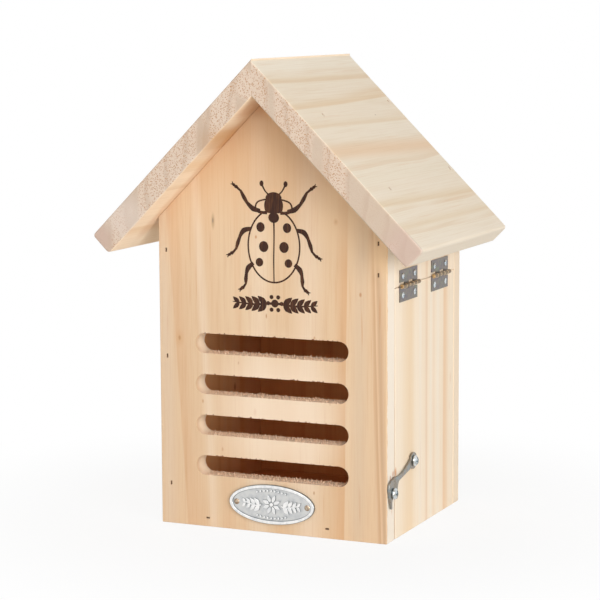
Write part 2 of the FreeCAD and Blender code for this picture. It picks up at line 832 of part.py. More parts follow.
def checkHouse():
    document.recompute()
    for thing in document.Objects:
        if "Invalid" in thing.State or "Error" in thing.State:
            raise RuntimeError(f"{thing.Label} failed: {thing.State}")
    for label, thing in parts.items():
        shape = thing.Shape
        if shape.isNull() or not shape.isValid() or not shape.Solids:
            raise RuntimeError(f"{label} has no sound solid")


def exportHouse():
    os.makedirs("parts", exist_ok=True)
    for label, thing in parts.items():
        thing.Shape.exportStep(f"parts/{label}.step")
        print(label, len(thing.Shape.Solids), round(thing.Shape.Volume, 1))


fillSheet()
buildHouse()
checkHouse()
exportHouse()
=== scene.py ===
import random
from functools import partial
from math import cos, degrees, pi, radians, sin, sqrt

import bpy
from mathutils import Matrix, Vector


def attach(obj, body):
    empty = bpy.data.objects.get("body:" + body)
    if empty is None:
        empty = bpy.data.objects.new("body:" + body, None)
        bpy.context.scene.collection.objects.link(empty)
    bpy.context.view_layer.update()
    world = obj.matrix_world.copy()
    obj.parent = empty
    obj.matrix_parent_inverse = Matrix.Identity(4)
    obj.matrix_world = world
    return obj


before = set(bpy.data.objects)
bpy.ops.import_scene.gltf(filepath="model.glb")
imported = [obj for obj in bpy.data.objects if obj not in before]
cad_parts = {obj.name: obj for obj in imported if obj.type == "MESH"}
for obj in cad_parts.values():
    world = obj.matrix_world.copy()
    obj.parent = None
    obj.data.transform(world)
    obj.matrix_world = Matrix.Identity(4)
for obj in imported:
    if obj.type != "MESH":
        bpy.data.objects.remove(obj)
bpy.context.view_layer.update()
millimetre = 0.001
halfRoot = sqrt(0.5)  # sine and cosine of the roof's 45 degrees

# Where the camera stands: angles in degrees, places in metres, lens and sensor in millimetres.
camera = {
    "lens": 128.92, "sensor": 36, "azimuth": 23.874, "elevation": 7.708, "roll": -0.242,
    "distance": 1.134039, "target": (-0.007238, 0, 0.113169), "farthest": 50,
}

# A plain white surround, three soft boxes and a pale floor. Places and sizes in metres.
studio = {
    "white": "#FFFFFF",
    "domeStrength": 0.41,
    "boxes": {
        "rightBox": {"place": (1.5, -1, 0.35), "size": 1, "watts": 22},
        "keyBox": {"place": (0.25, -1.5, 1.2), "size": 1.3, "watts": 7},
        "backBox": {"place": (-1.5, 1.2, 0.8), "size": 1.3, "watts": 12},
    },
    "aim": (0, 0, 0.12),
    "floorSize": 8,
    "floorColour": "#F6F5F3",
    "floorRoughness": 0.9,
    "floorLift": (0.86, 1),  # share of plain white that the camera sees in the floor, near and far
    "liftRadius": (0.09, 0.26),
}

# The four slots in the front, in millimetres: heights of their middles, pitch and half sizes.
slots = {"levels": (32.4, 53.6, 74.8, 96), "pitch": 21.2, "halfLength": 42.5, "halfHeight": 5.2}

# settings that many nodes share
smooth = {"interpolation_type": "SMOOTHSTEP"}
inColour = {"data_type": "RGBA"}
times = {"operation": "MULTIPLY"}
timesPlus = {"operation": "MULTIPLY_ADD"}
noiseSpan = (0.3, 0.7)  # a noise texture's values seldom lie beyond these
toMillimetres = (1000, 1000, 1000)


def hexToLinear(code):
    channels = [int(code[i:i + 2], 16) / 255 for i in (1, 3, 5)]
    linear = [c / 12.92 if c <= 0.04045 else ((c + 0.055) / 1.055) ** 2.4 for c in channels]
    return (*linear, 1)


def setInputs(node, inputs):
    # each input by its name or place, given as a node, a socket, a number or a hex colour
    for key, given in inputs.items():
        sockets = [s for s in node.inputs if s.enabled]
        socket = sockets[key] if isinstance(key, int) else next(s for s in sockets if s.name == key)
        if isinstance(given, bpy.types.Node):
            given = next(s for s in given.outputs if s.enabled)
        if isinstance(given, bpy.types.NodeSocket):
            node.id_data.links.new(given, socket)
        else:
            socket.default_value = hexToLinear(given) if isinstance(given, str) else given


def addNode(tree, kind, inputs=None, **settings):
    node = tree.nodes.new("ShaderNode" + kind)
    for name, setting in settings.items():
        setattr(node, name, setting)
    setInputs(node, inputs or {})
    return node


def span(start, full, least=0, most=1):
    # the limits of a Map Range node
    return {"From Min": start, "From Max": full, "To Min": least, "To Max": most}


def newMaterial(name):
    material = bpy.data.materials.new(name)
    material.use_nodes = True
    tree = material.node_tree
    add = partial(addNode, tree)
    return material, add, tree.nodes["Principled BSDF"], add("TexCoord")


bpy.context.scene.view_settings.view_transform = "Standard"

# Camera and studio


def placeCamera():
    azimuth, elevation, roll = (radians(camera[k]) for k in ("azimuth", "elevation", "roll"))
    back = Vector((sin(azimuth) * cos(elevation), -cos(azimuth) * cos(elevation), sin(elevation)))
    right = Vector((cos(azimuth), sin(azimuth), 0))
    up = back.cross(right)
    across = right * cos(roll) + up * sin(roll)
    upright = up * cos(roll) - right * sin(roll)
    bpy.ops.object.camera_add()
    stand = bpy.context.object
    stand.matrix_world = (Matrix.Translation(Vector(camera["target"]) + back * camera["distance"])
                          @ Matrix((across, upright, back)).transposed().to_4x4())
    stand.data.lens = camera["lens"]
    stand.data.sensor_width = camera["sensor"]
    stand.data.clip_end = camera["farthest"]
    bpy.context.scene.camera = stand


def placeLights():
    for name, box in studio["boxes"].items():
        toward = Vector(studio["aim"]) - Vector(box["place"])
        bpy.ops.object.light_add(type="AREA", location=box["place"],
                                 rotation=toward.to_track_quat("-Z", "Y").to_euler())
        lamp = bpy.context.object
        lamp.name = name
        lamp.data.size = box["size"]
        lamp.data.energy = box["watts"]


def seenWhite(add):
    # one where the camera sees it, straight or in a shiny or clear surface
    path = add("LightPath")
    seen = add("Math", {0: path.outputs["Is Camera Ray"], 1: path.outputs["Is Glossy Ray"]},
               operation="MAXIMUM")
    return add("Math", {0: seen, 1: path.outputs["Is Transmission Ray"]}, operation="MAXIMUM")


def setWorld():
    world = bpy.data.worlds.new("studio_surround")
    bpy.context.scene.world = world
    world.use_nodes = True
    world.node_tree.nodes.clear()
    add = partial(addNode, world.node_tree)
    dome = add("Background", {"Color": studio["white"], "Strength": studio["domeStrength"]})
    seen = add("Background", {"Color": studio["white"], "Strength": 1})
    mixed = add("MixShader", {0: seenWhite(add), 1: dome, 2: seen})
    add("OutputWorld", {"Surface": mixed})


def layFloor():
    bpy.ops.object.select_all(action="DESELECT")
    bpy.ops.mesh.primitive_plane_add(size=studio["floorSize"], location=(0, 0, 0))
    floor = bpy.context.object
    floor.name = "floor"
    # matt white board: no sheen, so that it takes nothing but the soft shadow
    material, add, shader, spot = newMaterial("matt_white_floor")
    setInputs(shader, {"Base Color": studio["floorColour"], "Roughness": studio["floorRoughness"],
                       "Specular IOR Level": 0})
    glow = add("Emission", {"Color": studio["white"], "Strength": 1})
    reach = add("VectorMath", {0: spot.outputs["Object"]}, operation="LENGTH")
    lift = add("MapRange", {"Value": reach.outputs["Value"],
                            **span(*studio["liftRadius"], *studio["floorLift"])}, **smooth)
    share = add("Math", {0: seenWhite(add), 1: lift}, **times)
    mixed = add("MixShader", {0: share, 1: shader, 2: glow})
    setInputs(material.node_tree.nodes["Material Output"], {"Surface": mixed})
    floor.data.materials.append(material)


placeCamera()
placeLights()
setWorld()
layFloor()
print("studio set")

# Spruce boards, sawn, planed and left bare: matt and warm pale, with faint year rings, fibres and pin knots,
# and greyer sawn ends with open pores. Every length is in millimetres, every strength a share of one.
# across and along are directions on the board; shift moves the pattern's zero.
# ringSoft, ringPeak: where in a year the late wood begins, is full and starts to end.
# endPale, endSmooth: sawn ends where pores crowd and where they are few. poreLeast: strength where few.
# poreRare: share of cells with no pore, and past which pores are full. poreCrowd: noise where they crowd.
# poreZones: slant, level, and the crowded bands by middle and half width.
# stripes: place across, lean, soft side, sharp side, colour, strength.
# flecks: place across, place along, half width, half height, colour, strength.
# stains, with patches of painted light and shade among them: place and half sizes on the board as three
# numbers each, colour, strength.
# side: tint and strength of the faces that look across the board, and where their arris is chipped.
# inside: coordinate, where the room side starts and is full, half width of the room, tint.
# torn: upper lips of the slots where the router tore fibres out, drawn as notches painted dark like the shaded
# inside, a painted shade: half length, fade, depth, tint.
plainLook = {
    "across": (1, 0, 0), "along": (0, 0, 1), "shift": (0, 0, 0),
    "pith": (18, 96), "ringSpacing": 5.6, "ringPhase": 0, "ringDrift": 2.4, "ringUneven": 0.4,
    "ringStrength": 0.14, "ringFaint": 0.5, "ringSoft": 0.2, "ringPeak": (0.92, 0.94),
    "pale": "#EFD2B0", "warm": "#E6C199", "patchSize": 26, "patchStrength": 0.7, "late": "#DDB084",
    "fibre": "#D09C6C", "fibreWidth": 0.6, "fibreLength": 30, "fibreStrength": 0.3, "broadShare": 0.45,
    "vein": "#CE8F5E", "veinStrength": 0.4,
    "endPale": "#E2CBBA", "endSmooth": "#DFC8B4", "endStrength": 0.85,
    "endRing": "#D5B9A4", "endRingStrength": 0.7,
    "pore": "#BE8C62", "poreSize": 0.8, "poreRun": 50, "poreRim": (0.5, 0.2), "poreRare": (0.35, 0.5),
    "poreLeast": 0.15, "poreStrength": 0.45, "poreBand": 18, "poreCrowd": (0.42, 0.54), "poreZones": None,
    "stripes": (), "flecks": (), "fleckCore": 0.25, "stainsAndPaintedLight": (), "stainAndLightCore": 0.3,
    "side": None, "inside": None, "torn": None,
    "roughness": (0.57, 0.72), "bump": 0.4, "bumpDepth": 0.15,
}

# how squarely a face must look across or along the board to count as its side or its end
sideTurn, endTurn = (0.75, 0.9), (0.6, 0.85)
arrisBlend, sideBlend, zoneBlend = 0.25, 0.5, 2  # widths of soft limits
throughBoard = 400  # more than any board's thickness

frontLook = plainLook | {
    "pale": "#EBCDA9", "warm": "#E3C099", "endPale": "#F9E1CA", "endSmooth": "#F9DDC2",
    "endRing": "#EED1B6", "poreStrength": 0.35,
    "stripes": (
        (-47.5, -0.065, 0.8, 14, "#DDAF84", 0.5), (-58, -0.02, 7, 7, "#E5CAAE", 0.6),
        (-26, -0.06, 3, 9, "#E2B88F", 0.3), (-32.5, -0.05, 4, 4, "#F3DBC0", 0.6),
        (5, 0.12, 5, 3, "#E6B98C", 0.35), (-16, -0.02, 4, 3, "#E6BC92", 0.35),
        (-8, 0.01, 9, 9, "#F6E0C6", 0.45), (20, 0.01, 12, 12, "#F4DEC4", 0.55),
        (39.4, 0.021, 9, 0.5, "#DCAB7C", 0.7), (47, 0.02, 6, 7, "#DEC3A5", 0.6),
        (60.2, -0.025, 2.4, 0.5, "#CB9C74", 0.6), (62.2, -0.025, 1.4, 3, "#CDA784", 0.7),
    ),
    "flecks": (
        (-31.9, 159, 1.3, 5.5, "#A8835E", 0.55), (-31.9, 159.3, 0.5, 2, "#7F7468", 0.8),
        (35.8, 160.9, 1.8, 2.4, "#CC8E55", 0.75), (35.8, 161, 0.6, 0.9, "#A8683A", 0.6),
        (-7.9, 151.8, 0.8, 1.3, "#C98750", 0.8), (-2.4, 111.9, 0.6, 1.8, "#B97A45", 0.7),
        (48.9, 125.2, 1, 1.6, "#BE8150", 0.7), (-51.6, 98, 1, 1.9, "#B27C4C", 0.75),
        (-51.6, 98, 3.4, 6.5, "#D6A473", 0.35), (-18.2, 86.9, 0.6, 1.2, "#B8793F", 0.6),
        (24, 102.2, 0.7, 1.4, "#C98B56", 0.6), (-9.1, 62.2, 1.2, 2.6, "#C98650", 0.75),
        (-38.6, 65.8, 0.8, 1.5, "#C58A55", 0.6), (-27.6, 41.5, 0.8, 1.6, "#C58A55", 0.6),
        (32.4, 69.3, 0.7, 1.5, "#C58A55", 0.6), (23.5, 22.9, 0.7, 1.4, "#B97F49", 0.7),
        # broad patches on the face: a paler one low in the middle; the gable darker and warmer under the roof
        # and darker under its peak, painted shade; two paler ones on the upper right, painted light in the
        # right roof's shadow
        (4, 62, 48, 50, "#FBE4CA", 0.75), (0, 206, 70, 66, "#E2B486", 0.5),
        (40, 166, 24, 30, "#F6D2A8", 0.55), (62, 146, 12, 16, "#FCD6A8", 0.8),
        (0, 226, 26, 18, "#CC8A4C", 0.8),
    ),
    "stainsAndPaintedLight": (
        # painted shade: darker brown patches on the panel's edge where the hook shades it over the gap, and a
        # pinker one under the catch screw's tooth
        ((63, -44.5, 34.4), (1.5, 1.1, 2.2), "#C87B45", 0.8),
        ((63, -48.2, 33.1), (1.5, 0.9, 1.6), "#B5683A", 0.8),
        ((63, -47.4, 22.6), (1.5, 1.6, 3.4), "#B98A68", 0.75),
        ((63, -46.2, 17), (1.5, 1, 4.2), "#CFA07C", 0.5),
        # the left end walls of the slots painted paler, painted light on faces that lie in shade
        *[((-41, -45.5, level), (7, 8, 9), "#FFEBD0", 0.9) for level in slots["levels"]],
    ),
    "side": {"tint": "#F4EBDD", "strength": 0.85, "from": 62, "arris": -52.3, "chips": 1.5},
    "inside": ("Y", -43.4, -42.9, 52, "#FFC892"),
    "torn": {"reach": 38, "fade": 1, "depth": 0.9, "tint": "#7E4A2A"},
}

# painted light: the faces in the narrow gaps round the door painted paler, where they lie in shade
gapPaintedLight = (((57, 0, 127.75), (100, 300, 0.6), "#FFF0DC", 1),
             ((57, 44.25, 64), (30, 0.7, 300), "#FFEBD0", 0.9))

doorLook = plainLook | {
    "across": (0, 1, 0), "pith": (-10, 140), "ringStrength": 0.08, "ringSpacing": 3.2,
    "pale": "#F4E4CE", "warm": "#EED9BE", "patchStrength": 0.45,
    "late": "#E0C29B", "fibre": "#DDBB94", "fibreStrength": 0.2, "vein": "#DDA878", "veinStrength": 0.22,
    "stripes": (
        (-21, 0, 16, 9, "#E9CBA2", 0.6), (3.5, 0, 4.5, 1.6, "#E3C3A2", 0.6),
        (14, 0, 3, 3, "#E8CDAF", 0.4), (-7, 0, 3, 4, "#F0E5D5", 0.5), (9.5, 0, 3, 3, "#F0E6D8", 0.5),
        (20.5, 0, 4, 4, "#F1E6D6", 0.5), (29.6, 0, 2.4, 9, "#E6BF95", 0.7),
    ),
    "flecks": ((39, 70, 0.6, 5, "#D89A6C", 0.5), (37.6, 55, 0.5, 4, "#D89A6C", 0.4)),
    # painted shade: a darker brown patch on the door's edge beside the hook, a small pale spot below it, then
    # the painted light in the gaps
    "stainsAndPaintedLight": (((63, -40.6, 34.4), (1.5, 1, 3.6), "#C98046", 0.8),
               ((63, -40.6, 31.6), (1.5, 0.5, 1), "#F4E8DA", 0.9), *gapPaintedLight),
    "inside": ("X", 51.6, 51.1, 99, "#FFE6C8"),
}

railLook = doorLook | {"fibreStrength": 0.26, "stainsAndPaintedLight": gapPaintedLight, "flecks": ()}

wallLook = doorLook | {
    "shift": (11, 30, 700), "stainsAndPaintedLight": (), "inside": ("X", -51.4, -51.1, 99, "#FFCB98"),
    "flecks": ((22, 762, 1.6, 3.4, "#B27C4C", 0.8),),
}

backLook = plainLook | {
    "shift": (9, 40, 900), "pith": (-22, -70), "pale": "#F0D8B8", "warm": "#E8C79E",
    "stripes": ((-34, 0.02, 10, 1, "#E0B587", 0.45), (26, -0.03, 1, 12, "#DFB384", 0.4)),
    "flecks": ((-12, 996, 2, 4.2, "#B27C4C", 0.8), (31, 1048, 1.1, 2, "#BE8150", 0.7),
               (14, 944, 0.8, 1.5, "#C58A55", 0.6)),
    "side": {"tint": "#EBDAC4", "strength": 0.8, "from": 62, "arris": 40, "chips": 0},
    "stainsAndPaintedLight": gapPaintedLight[1:],
    "inside": ("Y", 45, 44.6, 52, "#FFCA94"),
}

floorLook = plainLook | {
    "across": (0, 1, 0), "along": (1, 0, 0), "pith": (-12, 60), "shift": (0, 0, 400),
    "inside": ("Z", 9.6, 9.9, 99, "#FFD2A4"),
}

roofLook = plainLook | {
    "across": (halfRoot, 0, -halfRoot), "along": (0, 1, 0), "shift": (170, 0, 0),
    "pith": (-150, 20), "ringSpacing": 11.2, "ringPhase": 0.53, "ringStrength": 0.38, "ringDrift": 3.4,
    "ringSoft": 0.62, "ringFaint": 0.12,
    "pale": "#EDE0CC", "warm": "#EAD7BD", "patchSize": 40, "patchStrength": 0.5,
    "late": "#D9B78C", "fibre": "#D6B992", "fibreStrength": 0.34, "fibreLength": 50,
    "vein": "#DDB68C", "veinStrength": 0.2,
    "endPale": "#E0CAB6", "endSmooth": "#D3BDA8", "endStrength": 0.92,
    "endRing": "#C9AE98", "endRingStrength": 0.5,
    "pore": "#BE8A5E", "poreSize": 0.72, "poreRare": (0.05, 0.2), "poreLeast": 0.12, "poreStrength": 0.95,
    "poreCrowd": (0.6, 0.7), "poreZones": (-1, 164, ((10, 8), (37, 14), (69, 9))),
    "stripes": (
        (6, 0, 9, 9, "#F2E8D6", 0.6), (16, 0.02, 5, 1.4, "#D6B280", 0.45),
        (31, -0.02, 6, 1.2, "#DBB786", 0.5), (46, 0.01, 4, 1.5, "#DBBB8E", 0.4),
        (64, 0.03, 9, 9, "#E4BD94", 0.65), (80, 0, 6, 8, "#EADDC6", 0.5),
        (99, 0.02, 6, 1.6, "#D9BA8C", 0.45), (112, 0, 5, 2, "#DCC096", 0.4),
    ),
    "flecks": ((42.1, 14.5, 0.7, 0.8, "#8E6B49", 0.85),),
    "stainsAndPaintedLight": (((82, -74.3, 152), (18, 3, 18), "#D0B2A6", 0.5),),
    "side": {"tint": "#E2D6C4", "strength": 0.7, "from": 100, "arris": -400, "chips": 0},
}

roofLeftLook = roofLook | {
    "across": (-halfRoot, 0, -halfRoot), "pith": (-120, -30), "ringPhase": 0.2, "shift": (170, 0, 500),
    "pale": "#F8E4CA", "warm": "#F0D6B8", "endPale": "#E2CDBA", "endSmooth": "#D0B9A4",
    "stripes": ((31, 0.02, 8, 10, "#D9AE78", 0.5),
                (66, -0.01, 8, 5, "#E4C092", 0.5), (108, 0, 2, 8, "#E3BC8D", 0.4)),
    "flecks": ((74, 512, 2.4, 5, "#B27C4C", 0.8),),
    "poreZones": (1, -164, ((28, 10), (72, 24), (114, 3.5))),
    "stainsAndPaintedLight": (
        # painted shade and bounce light: the underside darker and warmer near the ridge
        ((-14, -58, 200), (30, 30, 14), "#C08A52", 0.6), ((-5, -62, 215), (12, 16, 10), "#CB8A4C", 0.5),
        ((-86, -74.3, 150), (10, 3, 12), "#D2B4A6", 0.6), ((-72, -74.3, 163), (16, 3, 16), "#E6D6CA", 0.5),
        # painted bounce light and shade: the underside tinted warm along the front panel, as if lit by light
        # thrown up from it
        *[((-out, -53, 217 - out), (15, 10, 15), "#CC8E52", 0.36) for out in range(4, 74, 10)],
    ),
}


def blotShare(add, source, centre, halfSize, core, strength):
    # how much an ellipsoid of colour covers: full inside its core, soft beyond it
    near = add("Mapping", {"Vector": source, "Location": centre, "Scale": halfSize}, vector_type="TEXTURE")
    far = add("VectorMath", {0: near}, operation="LENGTH")
    return add("MapRange", {"Value": far.outputs["Value"], **span(1, core, 0, strength)}, **smooth)


def makeSoftwood(name, look):
    material, add, shader, spot = newMaterial(name)
    across, along = Vector(look["across"]), Vector(look["along"])
    turn = Matrix((across, along.cross(across), along)).to_euler()
    board = add("Mapping", {"Vector": spot.outputs["Object"], "Location": look["shift"], "Rotation": turn,
                            "Scale": toMillimetres})
    facing = add("Mapping", {"Vector": spot.outputs["Normal"], "Rotation": turn}, vector_type="VECTOR")
    facing = add("SeparateXYZ", {"Vector": facing})
    place = add("SeparateXYZ", {"Vector": board})
    fromMiddle = add("Math", {0: place.outputs["X"]}, operation="ABSOLUTE")

    # noise stretched along the board: scale, place, detail, roughness, and where its effect starts and is full
    fine, wide = 1 / look["fibreWidth"], 1 / look["patchSize"]
    noises = {
        "drift": ((0.02, 0.02, 0.0035), (0, 0, 0), 2, 0.5, (0, 1)),
        "uneven": ((0.08, 0.08, 0.012), (0, 0, 0), 1, 0.5, (0, 1)),
        "fade": ((0.045, 0.045, 0.011), (41, 7, 3), 1, 0.5, (0.38, 0.6)),
        "patches": ((wide, wide, 0.12 * wide), (0, 0, 0), 3, 0.5, (0.35, 0.68)),
        "fibres": ((fine, fine, 1 / look["fibreLength"]), (0, 0, 0), 4, 0.65, (0.48, 0.78)),
        "broad": ((0.3, 0.3, 0.014), (31, 17, 5), 3, 0.5, (0.55, 0.72)),
        "veins": ((0.85, 0.85, 0.022), (5, 41, 13), 2, 0.5, (0.62, 0.72)),
        "sparse": ((0.06, 0.06, 0.012), (71, 3, 29), 1, 0.5, (0.42, 0.6)),
        "chips": ((0.02, 0.02, 0.16), (7, 7, 7), 3, 0.5, (0, 1)),
        "ragged": ((0.75, 0.3, 0.047), (3, 3, 11), 2, 0.5, (0.54, 0.75)),
        "poreBands": ((1 / look["poreBand"], 0.025, 0.001), (3, 9, 0), 1, 0.5, look["poreCrowd"]),
    }
    noise, band = {}, {}
    for label, (scale, shift, detail, roughness, limits) in noises.items():
        spread = add("Mapping", {"Vector": board, "Location": shift, "Scale": scale})
        noise[label] = add("TexNoise", {"Vector": spread, "Scale": 1, "Detail": detail,
                                        "Roughness": roughness})
        band[label] = {"Value": noise[label], **span(*limits)}

    # growth rings about the pith: pale early wood that darkens slowly to a sharp late edge
    swing = add("Math", {0: noise["drift"], 1: 2 * look["ringDrift"], 2: -look["ringDrift"]}, **timesPlus)
    sideways = add("Math", {0: place.outputs["X"], 1: swing}, operation="ADD")
    fromPith = add("CombineXYZ", {"X": sideways, "Y": place.outputs["Y"]})
    offset = add("VectorMath", {0: fromPith, 1: (*look["pith"], 0)}, operation="SUBTRACT")
    radius = add("VectorMath", {0: offset}, operation="LENGTH")
    turns = add("Math", {0: radius.outputs["Value"], 1: 1 / look["ringSpacing"], 2: look["ringPhase"]},
                **timesPlus)
    turns = add("Math", {0: noise["uneven"], 1: look["ringUneven"], 2: turns}, **timesPlus)
    season = add("Math", {0: turns}, operation="FRACT")
    full, ending = look["ringPeak"]
    darkening = add("MapRange", {"Value": season, **span(look["ringSoft"], full)}, **smooth)
    sharpEdge = add("MapRange", {"Value": season, **span(1, ending)}, **smooth)
    lateWood = add("Math", {0: darkening, 1: sharpEdge}, **times)
    strong = add("MapRange", {**band["fade"], "To Min": look["ringFaint"] * look["ringStrength"],
                              "To Max": look["ringStrength"]}, **smooth)
    ringShare = add("Math", {0: lateWood, 1: strong}, **times)
    patchShare = add("MapRange", {**band["patches"], "To Max": look["patchStrength"]})
    layers = [(patchShare, look["warm"]), (ringShare, look["late"])]

    # stripes that run the length of the board, soft on one side and sharp on the other
    for centre, lean, softSide, sharpSide, tint, strength in look["stripes"]:
        line = add("Math", {0: place.outputs["Z"], 1: -lean, 2: sideways}, **timesPlus)
        rise = add("MapRange", {"Value": line, **span(centre - softSide, centre, 0, strength)}, **smooth)
        fall = add("MapRange", {"Value": line, **span(centre + sharpSide, centre)}, **smooth)
        layers.append((add("Math", {0: rise, 1: fall}, **times), tint))

    # fibres drawn about 0.6 mm wide, coarser than the real 0.05 mm, so that they show
    fibreShare = add("MapRange", {**band["fibres"], "To Max": look["fibreStrength"]})
    broadShare = add("MapRange", {**band["broad"], "To Max": look["fibreStrength"] * look["broadShare"]},
                     **smooth)
    veinShare = add("MapRange", {**band["veins"], "To Max": look["veinStrength"]}, **smooth)
    here = add("MapRange", band["sparse"], **smooth)
    veinShare = add("Math", {0: veinShare, 1: here}, **times)
    layers += [(fibreShare, look["fibre"]), (broadShare, look["fibre"]), (veinShare, look["vein"])]

    # pin knots and flecks, through the whole thickness; on the front some broad ones are painted light and
    # shade
    for x, z, halfWidth, halfHeight, tint, strength in look["flecks"]:
        halfSize = (halfWidth, throughBoard, halfHeight)
        layers.append((blotShare(add, board, (x, 0, z), halfSize, look["fleckCore"], strength), tint))

    # the outer edges of the board, with a chipped arris
    side = look["side"]
    if side:
        start = side["arris"] - side["chips"]
        aside = add("Math", {0: facing.outputs["X"]}, operation="ABSOLUTE")
        share = add("MapRange", {"Value": aside, **span(*sideTurn, 0, side["strength"])})
        edge = add("Math", {0: noise["chips"], 1: -2 * side["chips"], 2: place.outputs["Y"]}, **timesPlus)
        whole = add("MapRange", {"Value": edge, **span(start, start + arrisBlend)}, **smooth)
        outer = add("MapRange", {"Value": fromMiddle, **span(side["from"] - sideBlend, side["from"])})
        for within in (whole, outer):
            share = add("Math", {0: share, 1: within}, **times)
        layers.append((share, side["tint"]))

    # small notches over the slots, painted dark like the shaded inside, a painted shade: height above the lip
    # against an uneven depth
    torn = look["torn"]
    if torn:
        reach, fade, height = torn["reach"], torn["fade"], place.outputs["Z"]
        lowest = slots["levels"][0] + slots["halfHeight"]
        highest = lowest + len(slots["levels"]) * slots["pitch"]
        above = add("Math", {0: height, 1: lowest}, operation="SUBTRACT")
        above = add("Math", {0: above, 1: slots["pitch"]}, operation="FLOORED_MODULO")
        depth = add("MapRange", {**band["ragged"], "To Max": torn["depth"]})
        share = add("Math", {0: above, 1: depth}, operation="LESS_THAN")
        for reading, limits in ((fromMiddle, (reach, reach - fade)), (height, (lowest - fade, lowest)),
                                (height, (highest - fade, highest - 2 * fade))):
            within = add("MapRange", {"Value": reading, **span(*limits)})
            share = add("Math", {0: share, 1: within}, **times)
        layers.append((share, torn["tint"]))

    colour = look["pale"]
    for share, tint in layers:
        colour = add("Mix", {"Factor": share, "A": colour, "B": tint}, **inColour)

    # the room side takes up the colour of light thrown about in the box
    if look["inside"]:
        axis, start, full, wall, tint = look["inside"]
        plain = add("SeparateXYZ", {"Vector": spot.outputs["Object"]})
        inward = add("MapRange", {"Value": plain.outputs[axis], **span(start * millimetre, full * millimetre)})
        width = add("Math", {0: plain.outputs["X"]}, operation="ABSOLUTE")
        between = add("MapRange", {"Value": width, **span((wall + sideBlend) * millimetre, wall * millimetre)})
        share = add("Math", {0: inward, 1: between}, **times)
        colour = add("Mix", {"Factor": share, "A": colour, "B": tint}, blend_type="MULTIPLY", **inColour)

    # sawn ends: greyer and pink, with open pores drawn larger than the real 0.03 mm cells
    crowd = add("MapRange", band["poreBands"], **smooth)
    if look["poreZones"]:
        slant, level, zones = look["poreZones"]
        height = add("Math", {0: place.outputs["Y"], 1: level}, operation="ADD")
        down = add("Math", {0: height, 1: slant, 2: sideways}, **timesPlus)
        for middle, halfWidth in zones:
            away = add("Math", {0: down, 1: middle}, operation="SUBTRACT")
            away = add("Math", {0: away}, operation="ABSOLUTE")
            here = add("MapRange", {"Value": away, **span(halfWidth + zoneBlend, halfWidth - zoneBlend)},
                       **smooth)
            crowd = add("Math", {0: crowd, 1: here}, operation="MAXIMUM")
    endRingShare = add("Math", {0: lateWood, 1: look["endRingStrength"]}, **times)
    ends = look["endSmooth"]
    for share, tint in ((crowd, look["endPale"]), (endRingShare, look["endRing"])):
        ends = add("Mix", {"Factor": share, "A": ends, "B": tint}, **inColour)
    ends = add("Mix", {"Factor": look["endStrength"], "A": colour, "B": ends}, **inColour)
    drawnOut = add("Mapping", {"Vector": board, "Scale": (1, 1, 1 / look["poreRun"])})
    pores = add("TexVoronoi", {"Vector": drawnOut, "Scale": 1 / look["poreSize"]})
    chance = add("SeparateColor", {"Color": pores.outputs["Color"]})
    share = add("MapRange", {"Value": chance.outputs[0], **span(*look["poreRare"])}, **smooth)
    crowding = add("MapRange", {"Value": crowd, "To Min": look["poreLeast"]})
    inPore = add("MapRange", {"Value": pores.outputs["Distance"],
                              **span(*look["poreRim"], 0, look["poreStrength"])}, **smooth)
    for within in (crowding, inPore):
        share = add("Math", {0: share, 1: within}, **times)
    ends = add("Mix", {"Factor": share, "A": ends, "B": look["pore"]}, **inColour)
    endOn = add("Math", {0: facing.outputs["Z"]}, operation="ABSOLUTE")
    endShare = add("MapRange", {"Value": endOn, **span(*endTurn)})

    # over all, stains and patches of painted light and shade, each an ellipsoid in the part's own millimetres
    layers = [(endShare, ends)]
    for centre, halfSize, tint, strength in look["stainsAndPaintedLight"]:
        at, size = ([length * millimetre for length in lengths] for lengths in (centre, halfSize))
        layers.append((blotShare(add, spot.outputs["Object"], at, size, look["stainAndLightCore"], strength), tint))
    for share, tint in layers:
        colour = add("Mix", {"Factor": share, "A": colour, "B": tint}, **inColour)

    roughness = add("MapRange", {"Value": noise["fibres"], **span(*noiseSpan, *look["roughness"])})
    relief = add("Mix", {"Factor": endShare, "A": noise["fibres"], "B": pores.outputs["Distance"]})
    bump = add("Bump", {"Strength": look["bump"], "Distance": look["bumpDepth"] * millimetre,
                        "Height": relief})
    setInputs(shader, {"Base Color": colour, "Roughness": roughness, "Normal": bump})
    return material


def dress(names, material):
    for name in names:
        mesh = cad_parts[name].data
        mesh.materials.clear()
        mesh.materials.append(material)


for board, finish, look in (("front_panel", "front", frontLook), ("door", "door", doorLook),
                            ("right_top_rail", "rail", railLook), ("left_wall", "wall", wallLook),
                            ("back_panel", "back", backLook), ("floor_panel", "floor", floorLook),
                            ("roof_right_board", "roof_right", roofLook),
                            ("roof_left_board", "roof_left", roofLeftLook)):
    dress([board], makeSoftwood("planed_spruce_" + finish, look))
print("boards dressed")


def hingeParts(kind, ends=("front", "rear")):
    return [f"{end}_hinge_{level}_{kind}" for end in ends for level in ("upper", "lower")]
